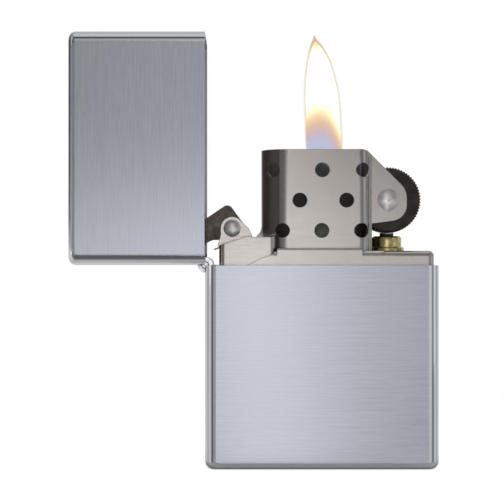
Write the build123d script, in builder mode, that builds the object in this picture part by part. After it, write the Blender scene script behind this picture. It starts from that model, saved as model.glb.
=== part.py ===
from build123d import *

import math
import os

# Flip-top windproof petrol lighter, lid standing open.
# Millimetres, +Z up. The origin is the centre of the case's flat bottom face, +X runs from the hinge
# side to the wheel side, and the front face looks along -Y. The hinge pin runs along Y at the case's
# upper left corner, and the lid is turned a quarter turn from closed about it.

os.makedirs("parts", exist_ok=True)

# Outer shells
width = 38.4
depth = 12.9
wall = 0.65
corner_radius = 1.8
bottom_edge_radius = 1.3
top_edge_radius = 1.2
hinge_z = 33.5
split_gap = 0.1
case_height = hinge_z - split_gap / 2
lid_height = 22.35
hinge_x = -width / 2

# Hinge
pin_radius = 0.60
pin_play = 0.05
knuckle_radius = 1.25
knuckle_room = 1.35
knuckle_count = 5
knuckle_length = 1.72
knuckle_pitch = 1.82
hinge_half = knuckle_pitch * knuckle_count / 2
leaf_thickness = 0.6
leaf_length = 13.8
leaf_corner = 1.2
leaf_side_play = 0.05
pin_chamfer = 0.12

# Fuel can, the body of the insert
can_wall = 0.4
can_left = -17.8
can_right = 18.4
can_half_depth = 5.65
can_bottom = 1.4
can_corner = 1.0
can_top_radius = 0.85
deck_z = hinge_z + 2.35
ledge_z = hinge_z - 0.15
sweep_start_x = -13.4
sweep_middle = (-9.9, hinge_z + 1.15)
sweep_end = (-7.55, deck_z + 0.3)
notch_x = 8.6
notch_length = 3.6
notch_height = 1.2
step_left = -7.4
step_right = 6.6
step_rise = 0.4
step_round = 0.3
pierce_play = 0.05

# Wind guard: chimney, shoulder and ears in one pressing
sheet = 0.45
guard_top = hinge_z + 19.1
guard_half_depth = 4.45
guard_left = -9.9
flat_right = 6.2
bend_outer = 1.9
bend_inner = 0.6
ear_half_depth = 3.3
floor_top = deck_z - can_wall
shoulder_left = -16.9
shoulder_right = -7.6
shoulder_half_depth = can_half_depth - can_wall
shoulder_corner = 0.9
floor_half_depth = 4.75
floor_right = 16.9
shoulder_bottom = hinge_z - 1.5
deck_left_z = hinge_z + 3.2
deck_ridge_x = -12.1
deck_ridge_z = hinge_z + 4.8
deck_flat_z = hinge_z + 4.6
ridge_run = 0.5
flare_radius = 1.8
flare_root = 0.2
ear_right = 14.15
# Side outline of the chimney's top and its ears: (x, height above the hinge, corner radius)
crown_outline = [
    (7.47, 19.1, 2.0),
    (ear_right, 12.42, 3.2),
    (ear_right, 7.6, 2.7),
    (8.35, 6.85, 0),
]

# Air holes: (x, height above the hinge, lean of the drill from square in degrees). Those at the
# back are staggered against those in front, so that no wind blows straight through.
hole_radius = 1.2
front_holes = [
    (-8.0, 15.7, -35),
    (0.1, 15.7, 0),
    (6.9, 15.7, 32),
    (-3.6, 10.7, 0),
    (4.1, 10.7, 0),
    (-6.5, 5.7, -14),
    (0.0, 5.7, 0),
    (6.6, 5.7, 28),
]
back_holes = [
    (-6.2, 13.2, -10),
    (0.1, 13.2, 0),
    (6.2, 13.2, 0),
    (-3.6, 8.2, 0),
    (3.8, 8.2, 0),
]

# Flint wheel and its rivet
wheel_x = 11.1
wheel_z = hinge_z + 10.8
wheel_radius = 5.5
wheel_half_width = 2.6
tooth_depth = 0.2
tooth_count = 58
running_play = 0.05
wheel_shank = 0.95
wheel_head = 1.8
wheel_hub = 1.9
head_height = 0.45
head_rim = 0.12

# Cam, its rivet and its leaf spring
cam_x = -14.8
cam_z = hinge_z + 6.1
cam_half_width = 1.4
cam_ear_inner = 1.6
cam_ear_outer = 2.1
cam_ear_radius = 1.93
cam_shank = 0.8
cam_head = 1.43
slot_half = 1.55
strip_half = 1.3
strip_thickness = 0.25
strip_drop = 0.17
slot_end = -10.7
slot_bottom = hinge_z + 2.2
strip_tip_x = shoulder_left - 0.85
strip_bend_x = -12.9
spring_rivet_x = -11.5
spring_shank = 0.5
spring_rivet_rim = 0.35
strip_bend_radius = 0.35
rivet_play = 0.02
# Side outline of each cam ear's foot: (x, z), clockwise from its left-hand edge
cam_ear_foot = [
    (cam_x - cam_ear_radius, cam_z),
    (cam_x - cam_ear_radius, hinge_z + 4.9),
    (shoulder_left - 0.35, deck_left_z),
    (shoulder_left, deck_left_z - sheet),
    (-11.3, deck_flat_z - sheet),
    (-11.5, hinge_z + 5.0),
    (-12.05, cam_z),
    (cam_x + 1.42, cam_z + 1.3),
]
# Corners of the cam's outline: (reach and rise from its pivot, corner radius)
cam_outline = [
    (-4.35, 1.65, 0.3),
    (-0.6, 4.22, 1.0),
    (1.0, 2.0, 0.6),
    (1.95, 0.75, 0.5),
    (2.0, -0.6, 0.5),
    (1.0, -1.93, 0.5),
    (-3.3, -1.93, 0.8),
    (-4.3, -2.4, 0.6),
    (-5.05, -4.45, 0.2),
    (-5.4, -4.75, 0.15),
    (-6.0, -4.2, 0.4),
    (-6.1, -2.0, 1.0),
    (-5.2, 0.9, 0.5),
]

# Flint, tube, spring and screw
tube_x = wheel_x
tube_bore = 1.2
tube_radius = 1.75
tube_bottom = 3.05
flange_radius = 2.9
flange_top = hinge_z + 2.96
collar_radius = 2.45
collar_top = hinge_z + 4.8
collar_round = 0.5
flint_radius = tube_bore - running_play
flint_bottom = hinge_z - 0.25
flint_length = 5.65
plunger_length = 2.0
plunger_stem_radius = 0.55
plunger_stem_length = 1.2
spring_radius = 0.85
spring_wire = 0.15
spring_pitch = 1.5
screw_head_bottom = 2.05
screw_head_radius = 2.4
screw_slot_width = 0.65
screw_slot_depth = 0.5
screw_shank = 1.45
screw_top = 8.0
screw_pip_radius = 0.5
screw_pip_height = 1.0
thread_pitch = 0.5
thread_depth = 0.15

# Wick, cotton and felt
wick_x = 0.6
wick_radius = 1.6
wick_top = hinge_z + 9.5
wick_bottom = 4.0
felt_bottom = 1.5
felt_top = 3.1
felt_corner = 0.6
felt_hole_play = 0.3
cotton_count = 5
cotton_bottom = 3.3
cotton_pitch = 5.7
cotton_gap = 0.2
cotton_corner = 2.2
cotton_round = 1.6
cotton_side_gap = 0.4
wick_channel_play = 0.1
tube_channel_play = 0.15

case_axis_plane = Plane(origin=(hinge_x, 0, hinge_z), x_dir=(1, 0, 0), z_dir=(0, 1, 0))
lid_axis_plane = Plane(origin=(hinge_x, 0, hinge_z), x_dir=(0, 0, 1), z_dir=(0, -1, 0))
lid_top_x = hinge_x - split_gap / 2 - lid_height
lid_base = Plane(origin=(lid_top_x, 0, hinge_z + width / 2), x_dir=(0, 0, 1), z_dir=(1, 0, 0))


def finish(part, name):
    """Label a finished piece and write it as its own STEP file."""
    part.label = name
    export_step(part, f"parts/{name}.step")


def cup(base, height, edge_radius):
    """A thin-walled box, closed and rounded over on the base plane and open at the other end."""
    with BuildPart() as shell:
        with BuildSketch(base):
            RectangleRounded(width, depth, corner_radius)
        extrude(amount=height)
        along = Axis(base.origin, base.z_dir)
        fillet(shell.faces().sort_by(along)[0].edges(), edge_radius)
        offset(amount=-wall, openings=shell.faces().sort_by(along)[-1])
        with BuildSketch(base.offset(height)):
            with Locations((-width / 2 + wall / 2, 0)):
                Rectangle(wall * 1.5, hinge_half * 2)
        extrude(amount=-knuckle_room, mode=Mode.SUBTRACT)
    return shell.part


def hinge_leaf(axis_plane, knuckles):
    """A leaf lying on the inside of a wall, with its rolled knuckles about the hinge axis."""
    with BuildPart() as leaf:
        with BuildSketch(axis_plane):
            with Locations((wall + leaf_thickness / 2, (knuckle_room + leaf_length) / 2)):
                Rectangle(leaf_thickness, leaf_length - knuckle_room)
        extrude(amount=hinge_half - leaf_side_play, both=True)
        far_end = leaf.faces().sort_by(Axis(axis_plane.origin, axis_plane.y_dir))[-1]
        fillet(far_end.edges().filter_by(Axis(axis_plane.origin, axis_plane.x_dir)), leaf_corner)
        for index in knuckles:
            with BuildSketch(axis_plane.offset(index * knuckle_pitch)):
                Circle(knuckle_radius)
                with Locations((wall + leaf_thickness / 2, knuckle_room / 2)):
                    Rectangle(leaf_thickness, knuckle_room)
                Circle(pin_radius + pin_play, mode=Mode.SUBTRACT)
            extrude(amount=knuckle_length / 2, both=True)
    return leaf.part


def dome(start, end):
    """Spherical arc from the edge of a round head to its centre on the axis of revolution."""
    reach = abs(start[0] - end[0])
    rise = abs(start[1] - end[1])
    radius = (reach**2 + rise**2) / (2 * rise)
    side = 1 if (start[0] > end[0]) == (start[1] < end[1]) else -1
    return RadiusArc(start, end, -side * radius)


def rivet(x, z, shank, head, half_span):
    """A rivet along Y with a low domed head outside each ear."""
    rim = half_span + head_rim
    tip = half_span + head_height
    with BuildPart() as pin:
        with BuildSketch(Plane.XY):
            with BuildLine():
                dome((head, rim), (0, tip))
                Polyline((head, rim), (head, half_span), (shank, half_span), (shank, -half_span))
                Polyline((shank, -half_span), (head, -half_span), (head, -rim))
                dome((head, -rim), (0, -tip))
                Line((0, -tip), (0, tip))
            make_face()
        revolve(axis=Axis.Y)
    return pin.part.moved(Location((x, 0, z)))


def guard_plan(inset, right_end):
    """Plan outline of the chimney and its ears, drawn inset from the outer skin."""
    turn = math.degrees(math.acos(1 - (guard_half_depth - ear_half_depth) / (bend_outer + bend_inner)))
    with BuildLine() as outline:
        nose = JernArc((guard_left + inset, 0), (0, 1), guard_half_depth - inset, -90)
        flat = Line(nose @ 1, (flat_right, guard_half_depth - inset))
        shoulder_bend = JernArc(flat @ 1, flat % 1, bend_outer - inset, -turn)
        ear_bend = JernArc(shoulder_bend @ 1, shoulder_bend % 1, bend_inner + inset, turn)
        Polyline(ear_bend @ 1, (right_end, ear_half_depth - inset), (right_end, 0))
        mirror(about=Plane.XZ)
    return outline.line


# Case body
case_shell = cup(Plane.XY, case_height, bottom_edge_radius)
finish(case_shell, "case_shell")
case_hinge_leaf = hinge_leaf(case_axis_plane, (-2, 0, 2))
finish(case_hinge_leaf, "case_hinge_leaf")

with BuildPart() as hinge_pin:
    with BuildSketch(case_axis_plane.offset(-hinge_half)):
        Circle(pin_radius)
    extrude(amount=hinge_half * 2)
    chamfer(hinge_pin.edges().filter_by(GeomType.CIRCLE), pin_chamfer)
finish(hinge_pin.part, "hinge_pin")

# Lid body
lid_shell = cup(lid_base, lid_height, top_edge_radius)
finish(lid_shell, "lid_shell")
lid_hinge_leaf = hinge_leaf(lid_axis_plane, (-1, 1))
finish(lid_hinge_leaf, "lid_hinge_leaf")

# Fuel can: open below, its top plate pierced for the chimney and the flint tube
can_length = can_right - can_left
can_centre = (can_left + can_right) / 2
with BuildPart() as fuel_can:
    with BuildSketch(Plane.XY.offset(can_bottom)):
        with Locations((can_centre, 0)):
            RectangleRounded(can_length, can_half_depth * 2, can_corner)
    extrude(amount=deck_z - can_bottom)
    fillet(fuel_can.faces().sort_by(Axis.Z)[-1].edges(), can_top_radius)
    offset(amount=-can_wall, openings=fuel_can.faces().sort_by(Axis.Z)[0])
    # The front and back walls sweep down to the rim on the hinge side, clear of the shoulder
    with BuildSketch(Plane.XZ):
        with BuildLine():
            low = Line((can_left - 1, ledge_z), (sweep_start_x, ledge_z))
            sweep_up = Spline(low @ 1, sweep_middle, sweep_end, tangents=[(1, 0), (0.3, 1)])
            Polyline(sweep_up @ 1, (sweep_end[0], deck_z + 3), (can_left - 1, deck_z + 3), low @ 0)
        make_face()
    extrude(amount=depth, both=True, mode=Mode.SUBTRACT)
    with BuildSketch(Plane.XY.offset(deck_z)):
        with Locations(((shoulder_left + shoulder_right) / 2, 0)):
            RectangleRounded(shoulder_right - shoulder_left + 0.04, shoulder_half_depth * 2, shoulder_corner)
    extrude(amount=-can_top_radius * 1.8, mode=Mode.SUBTRACT)
    with BuildSketch(Plane.XY.offset(deck_z + 1)):
        make_face(guard_plan(-pierce_play, flat_right + 2.2))
        with Locations((tube_x, 0)):
            Circle(tube_radius + pierce_play)
    extrude(amount=-2, mode=Mode.SUBTRACT)
    # Raised strips in front of the chimney and behind it, flush with the can's walls
    with BuildSketch(Plane.YZ.offset(step_left)):
        with BuildLine():
            strip_top = deck_z + step_rise
            skin = can_half_depth
            rise = Line((skin, deck_z - can_top_radius), (skin, strip_top - step_round))
            RadiusArc(rise @ 1, (skin - step_round, strip_top), -step_round)
            Polyline(
                (skin - step_round, strip_top),
                (guard_half_depth + pierce_play, strip_top),
                (guard_half_depth + pierce_play, deck_z - can_wall),
                (floor_half_depth + pierce_play, deck_z - can_wall),
                (skin - can_wall, deck_z - can_top_radius),
                rise @ 0,
            )
        make_face()
        mirror(about=Plane.YZ)
    extrude(amount=step_right - step_left)
    # Relief notches at the chimney's right-hand foot, front and back
    for outward in (Plane.XZ.offset(guard_half_depth), Plane.XZ.offset(-can_half_depth)):
        with BuildSketch(outward):
            with Locations((notch_x, deck_z + 0.1)):
                SlotOverall(notch_length, notch_height)
        extrude(amount=can_half_depth - guard_half_depth, mode=Mode.SUBTRACT)
finish(fuel_can.part, "fuel_can")

# Wind guard. The shoulder carries the cam's ears, and its deck climbs towards the chimney.
shoulder_length = shoulder_right - shoulder_left
shoulder_centre = (shoulder_right + shoulder_left) / 2


def deck_profile(drop, left, right, bottom):
    """Side outline of the shoulder's deck, lowered by drop."""
    with BuildLine() as outline:
        Polyline(
            (left, bottom),
            (left, deck_left_z - drop),
            (deck_ridge_x, deck_ridge_z - drop),
            (deck_ridge_x + ridge_run, deck_flat_z - drop),
            (right, deck_flat_z - drop),
            (right, bottom),
            close=True,
        )
    return outline.line


with BuildPart() as shoulder:
    with BuildSketch(Plane.XY.offset(shoulder_bottom)):
        with Locations((shoulder_centre, 0)):
            RectangleRounded(shoulder_length, shoulder_half_depth * 2, shoulder_corner)
    extrude(amount=guard_top - shoulder_bottom)
    with BuildSketch(Plane.XZ):
        make_face(deck_profile(0, shoulder_left, shoulder_right, shoulder_bottom))
    extrude(amount=depth, both=True, mode=Mode.INTERSECT)

nose_x = guard_left + guard_half_depth
with BuildPart() as flare:
    with BuildSketch(Plane.XZ):
        with BuildLine():
            foot = (guard_left - flare_radius, deck_flat_z)
            head = (guard_left, deck_flat_z + flare_radius)
            CenterArc((foot[0], head[1]), flare_radius, 270, 90)
            root_x = guard_left + flare_root
            root_z = deck_flat_z - flare_root
            Polyline(head, (root_x, head[1]), (root_x, root_z), (foot[0], root_z), foot)
        make_face()
    revolve(axis=Axis((nose_x, 0, 0), (0, 0, 1)), revolution_arc=360)
    with BuildSketch(Plane.XY.offset(shoulder_bottom)):
        with Locations((shoulder_centre, 0)):
            RectangleRounded(shoulder_length, shoulder_half_depth * 2, shoulder_corner)
    extrude(amount=guard_top - shoulder_bottom, mode=Mode.INTERSECT)

with BuildPart() as wind_guard:
    with BuildSketch(Plane.XY.offset(floor_top)):
        make_face(guard_plan(0, ear_right + 0.15))
    extrude(amount=guard_top - floor_top)
    with BuildSketch(Plane.XZ):
        with BuildLine():
            crown = FilletPolyline(
                (guard_left - 1, guard_top),
                *[(x, hinge_z + height) for x, height, bend in crown_outline],
                radius=[bend for x, height, bend in crown_outline[:-1]],
            )
            Polyline(crown @ 1, (crown_outline[-1][0], floor_top), (guard_left - 1, floor_top), crown @ 0)
        make_face()
    extrude(amount=depth, both=True, mode=Mode.INTERSECT)
    add(shoulder.part)
    add(flare.part)
    # Hollow the chimney, then the shoulder
    with BuildSketch(Plane.XY.offset(floor_top)):
        make_face(guard_plan(sheet, ear_right + 1))
    extrude(amount=guard_top - floor_top, mode=Mode.SUBTRACT)
    with BuildSketch(Plane.XZ):
        make_face(deck_profile(sheet, shoulder_left + sheet, guard_left - 0.5, shoulder_bottom))
    extrude(amount=shoulder_half_depth - sheet, both=True, mode=Mode.SUBTRACT)
    with BuildSketch(Plane.XY.offset(shoulder_bottom)):
        with Locations(((shoulder_right + guard_left) / 2, 0)):
            Rectangle(6, (shoulder_half_depth - sheet) * 2)
    extrude(amount=floor_top - can_wall - shoulder_bottom, mode=Mode.SUBTRACT)
    # Floor plate over the cotton, and the ledge that closes the can at its hinge end
    with BuildSketch(Plane.XY.offset(floor_top - can_wall)):
        with Locations(((shoulder_left + floor_right) / 2, 0)):
            RectangleRounded(floor_right - shoulder_left, floor_half_depth * 2, shoulder_corner)
    extrude(amount=can_wall)
    with BuildSketch(Plane.XY.offset(ledge_z - 0.4)):
        with Locations(((can_left + can_wall + shoulder_left + sheet) / 2, 0)):
            Rectangle(shoulder_left + sheet - can_left - can_wall, shoulder_half_depth * 2 - 1.2)
    extrude(amount=0.4)
    # Cam ears stand on the deck, with a slot between them for the spring to bend into
    for side in (-1, 1):
        with BuildSketch(Plane.XZ.offset(side * (cam_ear_inner + cam_ear_outer) / 2)):
            with Locations((cam_x, cam_z)):
                Circle(cam_ear_radius)
            with BuildLine():
                Polyline(*cam_ear_foot, close=True)
            make_face()
        extrude(amount=(cam_ear_outer - cam_ear_inner) / 2, both=True)
    with BuildSketch(Plane.XY.offset(slot_bottom)):
        with Locations(((shoulder_left - 1 + slot_end) / 2, 0)):
            Rectangle(slot_end - shoulder_left + 1, slot_half * 2)
    extrude(amount=guard_top - slot_bottom, mode=Mode.SUBTRACT)
    # Air holes, drilled square to the bent sheet
    for side, holes in ((-1, front_holes), (1, back_holes)):
        for hole_x, height, lean in holes:
            tilt = math.radians(lean)
            skin = guard_half_depth
            if hole_x < nose_x:
                skin = guard_half_depth * math.cos(tilt)
            if hole_x > flat_right:
                skin = guard_half_depth - bend_outer * (1 - math.cos(tilt))
            drill = Plane(
                origin=(hole_x, side * skin, hinge_z + height),
                x_dir=(0, 0, 1),
                z_dir=(math.sin(tilt), side * math.cos(tilt), 0),
            )
            with BuildSketch(drill):
                Circle(hole_radius)
            extrude(amount=1.0, both=True, mode=Mode.SUBTRACT)
    # Holes for the two rivets, the wick and the flint tube
    with BuildSketch(Plane.XZ):
        with Locations((wheel_x, wheel_z)):
            Circle(wheel_shank + rivet_play)
        with Locations((cam_x, cam_z)):
            Circle(cam_shank + rivet_play)
    extrude(amount=depth, both=True, mode=Mode.SUBTRACT)
    with BuildSketch(Plane.XY.offset(floor_top)):
        with Locations((wick_x, 0)):
            Circle(wick_radius + wick_channel_play)
        with Locations((tube_x, 0)):
            Circle(tube_radius + pierce_play)
        with Locations((spring_rivet_x, 0)):
            Circle(spring_shank)
    extrude(amount=-can_wall, mode=Mode.SUBTRACT)
finish(wind_guard.part, "wind_guard")

finish(rivet(wheel_x, wheel_z, wheel_shank, wheel_head, ear_half_depth), "wheel_rivet")
finish(rivet(cam_x, cam_z, cam_shank, cam_head, cam_ear_outer), "cam_rivet")

# Cam: a thick plate with a hub, a hump and a beak that presses on the lid's leaf
with BuildPart() as cam:
    with BuildSketch(Plane.XZ):
        with BuildLine():
            FilletPolyline(
                *[(cam_x + reach, cam_z + rise) for reach, rise, bend in cam_outline],
                radius=[bend for reach, rise, bend in cam_outline],
                close=True,
            )
        make_face()
        with Locations((cam_x, cam_z)):
            Circle(cam_shank + pin_play, mode=Mode.SUBTRACT)
    extrude(amount=cam_half_width, both=True)
finish(cam.part, "cam")

# Leaf spring: riveted to the floor plate, it climbs over a sharp bend and slopes out under the cam
def strip_z(x):
    """Height of the spring's middle on its sloping stretch, just under the line of the deck."""
    slope = (deck_ridge_z - deck_left_z) / (deck_ridge_x - shoulder_left)
    return deck_left_z + slope * (x - shoulder_left) - strip_drop - strip_thickness / 2


strip_floor = floor_top + strip_thickness / 2
with BuildPart() as cam_spring:
    with BuildSketch(Plane.XZ):
        with BuildLine():
            FilletPolyline(
                (strip_tip_x, strip_z(strip_tip_x)),
                (strip_bend_x, strip_z(strip_bend_x)),
                (strip_bend_x + 0.3, strip_floor),
                (spring_rivet_x + 1.0, strip_floor),
                radius=strip_bend_radius,
            )
            offset(amount=strip_thickness / 2)
        make_face()
    extrude(amount=strip_half, both=True)
    with Locations((spring_rivet_x, 0, floor_top)):
        Hole(spring_shank + rivet_play)
finish(cam_spring.part, "cam_spring")

with BuildPart() as cam_spring_rivet:
    with BuildSketch(Plane.XZ):
        with BuildLine():
            head_z = floor_top + strip_thickness
            under_z = floor_top - can_wall
            rim_radius = spring_shank + spring_rivet_rim
            Polyline(
                (0, head_z + spring_rivet_rim),
                (0, under_z - 0.2),
                (spring_shank + 0.3, under_z - 0.2),
                (spring_shank + 0.3, under_z),
                (spring_shank, under_z),
                (spring_shank, head_z),
                (rim_radius, head_z),
            )
            dome((rim_radius, head_z), (0, head_z + spring_rivet_rim))
        make_face()
    revolve(axis=Axis.Z)
finish(cam_spring_rivet.part.moved(Location((spring_rivet_x, 0, 0))), "cam_spring_rivet")

# Flint wheel: a toothed rim, and a hub that keeps it between the ears
with BuildPart() as flint_wheel:
    with BuildSketch(Plane.XZ):
        with BuildLine():
            teeth = []
            for step in range(tooth_count * 2):
                reach = wheel_radius - tooth_depth * (step % 2)
                angle = math.pi * step / tooth_count
                teeth.append((wheel_x + reach * math.cos(angle), wheel_z + reach * math.sin(angle)))
            Polyline(*teeth, close=True)
        make_face()
    extrude(amount=wheel_half_width, both=True)
    with BuildSketch(Plane.XZ):
        with Locations((wheel_x, wheel_z)):
            Circle(wheel_hub)
    extrude(amount=ear_half_depth - sheet - running_play, both=True)
    with BuildSketch(Plane.XZ):
        with Locations((wheel_x, wheel_z)):
            Circle(wheel_shank + running_play)
    extrude(amount=depth, both=True, mode=Mode.SUBTRACT)
finish(flint_wheel.part, "flint_wheel")

# Flint tube: plain brass tube, flange on the deck, rounded collar under the wheel
with BuildPart() as flint_tube:
    with BuildSketch(Plane.XZ):
        with BuildLine():
            low_skin = Polyline(
                (screw_shank + pin_play, tube_bottom),
                (tube_radius, tube_bottom),
                (tube_radius, deck_z),
                (flange_radius, deck_z),
                (flange_radius, flange_top - 0.15),
                (flange_radius - 0.15, flange_top),
                (collar_radius, flange_top),
                (collar_radius, collar_top - collar_round),
            )
            RadiusArc(low_skin @ 1, (collar_radius - collar_round, collar_top), -collar_round)
            Polyline(
                (collar_radius - collar_round, collar_top),
                (tube_bore, collar_top),
                (tube_bore, screw_top + 0.3),
                (screw_shank + pin_play, screw_top + 0.3),
                low_skin @ 0,
            )
        make_face()
    revolve(axis=Axis.Z)
finish(flint_tube.part.moved(Location((tube_x, 0, 0))), "flint_tube")

plunger_bottom = flint_bottom - plunger_length

# The flint's top is worn to the curve of the wheel
with BuildPart() as flint:
    with Locations((tube_x, 0, flint_bottom)):
        Cylinder(flint_radius, flint_length, align=(Align.CENTER, Align.CENTER, Align.MIN))
    chamfer(flint.edges().group_by(Axis.Z)[0], 0.15)
    with BuildSketch(Plane.XZ):
        with Locations((wheel_x, wheel_z)):
            Circle(wheel_radius + running_play)
    extrude(amount=depth, both=True, mode=Mode.SUBTRACT)
finish(flint.part, "flint")

with BuildPart() as flint_plunger:
    with Locations((tube_x, 0, plunger_bottom)):
        Cylinder(flint_radius, plunger_length, align=(Align.CENTER, Align.CENTER, Align.MIN))
        with Locations((0, 0, -plunger_stem_length)):
            Cylinder(
                plunger_stem_radius, plunger_stem_length + 0.1, align=(Align.CENTER, Align.CENTER, Align.MIN)
            )
    chamfer(flint_plunger.edges().group_by(Axis.Z)[-1], 0.1)
finish(flint_plunger.part, "flint_plunger")

spring_height = plunger_bottom - screw_top - spring_wire * 2 - 0.1
with BuildPart() as flint_spring:
    with BuildLine():
        coil = Helix(
            pitch=spring_pitch,
            height=spring_height,
            radius=spring_radius,
            center=(tube_x, 0, screw_top + spring_wire + 0.05),
        )
    with BuildSketch(Plane(origin=coil @ 0, z_dir=coil % 0)):
        Circle(spring_wire)
    sweep(path=coil, is_frenet=True)
finish(flint_spring.part, "flint_spring")

# Flint screw: slotted head in the felt, ridged shank in the tube, pip inside the spring
with BuildPart() as flint_screw:
    with BuildSketch(Plane.XZ):
        with BuildLine():
            ridges = []
            ridge_z = tube_bottom + 0.4
            while ridge_z < screw_top - 0.8:
                ridges.append((screw_shank - thread_depth, ridge_z))
                ridges.append((screw_shank, ridge_z + thread_pitch / 2))
                ridge_z += thread_pitch
            Polyline(
                (0, screw_head_bottom),
                (screw_head_radius - 0.2, screw_head_bottom),
                (screw_head_radius, screw_head_bottom + 0.2),
                (screw_head_radius, tube_bottom - 0.05),
                (screw_shank - thread_depth, tube_bottom - 0.05),
                *ridges,
                (screw_shank - thread_depth, screw_top),
                (screw_pip_radius, screw_top),
                (screw_pip_radius, screw_top + screw_pip_height),
                (0, screw_top + screw_pip_height),
                close=True,
            )
        make_face()
    revolve(axis=Axis.Z)
    with BuildSketch(Plane.XY.offset(screw_head_bottom)):
        Rectangle(screw_head_radius * 2.2, screw_slot_width)
    extrude(amount=screw_slot_depth, mode=Mode.SUBTRACT)
finish(flint_screw.part.moved(Location((tube_x, 0, 0))), "flint_screw")

# Wick, cotton and felt
with BuildPart() as wick:
    with Locations((wick_x, 0, wick_bottom)):
        Cylinder(wick_radius, wick_top - wick_bottom, align=(Align.CENTER, Align.CENTER, Align.MIN))
    fillet(wick.edges().group_by(Axis.Z)[-1], 0.4)
finish(wick.part, "wick")

inside_left = can_left + can_wall
inside_right = can_right - can_wall
inside_length = inside_right - inside_left
inside_centre = (inside_left + inside_right) / 2
inside_depth = shoulder_half_depth * 2
for index in range(cotton_count):
    layer_z = cotton_bottom + index * cotton_pitch
    with BuildPart() as cotton_ball:
        with BuildSketch(Plane.XY.offset(layer_z)):
            with Locations((inside_centre, 0)):
                RectangleRounded(
                    inside_length - cotton_side_gap * 2, inside_depth - cotton_side_gap * 2, cotton_corner
                )
        extrude(amount=cotton_pitch - cotton_gap)
        rims = cotton_ball.edges().group_by(Axis.Z)
        fillet(rims[0] + rims[-1], cotton_round)
        with BuildSketch(Plane.XY.offset(layer_z)):
            with Locations((wick_x, 0)):
                Circle(wick_radius + wick_channel_play)
            with Locations((tube_x, 0)):
                Circle(tube_radius + tube_channel_play)
        extrude(amount=cotton_pitch, mode=Mode.SUBTRACT)
    finish(cotton_ball.part, f"cotton_ball_{index + 1}")

with BuildPart() as felt_pad:
    with BuildSketch(Plane.XY.offset(felt_bottom)):
        with Locations((inside_centre, 0)):
            RectangleRounded(inside_length - 0.1, inside_depth - 0.1, felt_corner)
        with Locations((tube_x, 0)):
            Circle(screw_head_radius + felt_hole_play, mode=Mode.SUBTRACT)
    extrude(amount=felt_top - felt_bottom)
finish(felt_pad.part, "felt_pad")
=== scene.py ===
import math
import random

import bmesh
import bpy
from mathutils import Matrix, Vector, noise


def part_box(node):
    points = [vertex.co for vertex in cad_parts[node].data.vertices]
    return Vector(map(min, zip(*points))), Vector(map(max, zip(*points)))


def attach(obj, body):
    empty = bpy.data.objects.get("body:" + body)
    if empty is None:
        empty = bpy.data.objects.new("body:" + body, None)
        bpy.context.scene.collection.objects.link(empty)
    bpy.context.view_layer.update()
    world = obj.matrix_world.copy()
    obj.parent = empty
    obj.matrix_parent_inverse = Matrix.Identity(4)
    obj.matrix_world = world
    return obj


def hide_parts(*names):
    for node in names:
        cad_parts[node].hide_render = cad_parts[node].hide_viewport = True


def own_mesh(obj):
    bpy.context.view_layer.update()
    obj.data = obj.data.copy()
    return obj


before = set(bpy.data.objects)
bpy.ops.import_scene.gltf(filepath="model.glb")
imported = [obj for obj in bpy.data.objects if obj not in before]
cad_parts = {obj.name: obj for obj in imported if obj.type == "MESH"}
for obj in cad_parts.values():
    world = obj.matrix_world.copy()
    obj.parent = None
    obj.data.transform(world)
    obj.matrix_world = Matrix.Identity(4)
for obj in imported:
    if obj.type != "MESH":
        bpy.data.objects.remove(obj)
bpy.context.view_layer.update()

MM = 0.001
TO_MM = 1000
TURN = 2 * math.pi

CASE_LOW, CASE_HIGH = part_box("case_shell")
LID_LOW, LID_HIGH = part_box("lid_shell")
GUARD_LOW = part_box("wind_guard")[0]
WHEEL_LOW, WHEEL_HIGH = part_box("flint_wheel")
WICK_LOW, WICK_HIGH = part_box("wick")
HINGE_Z = CASE_HIGH.z
FACE_Y = CASE_HIGH.y


# ---------------------------------------------------------------- node helpers


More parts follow.
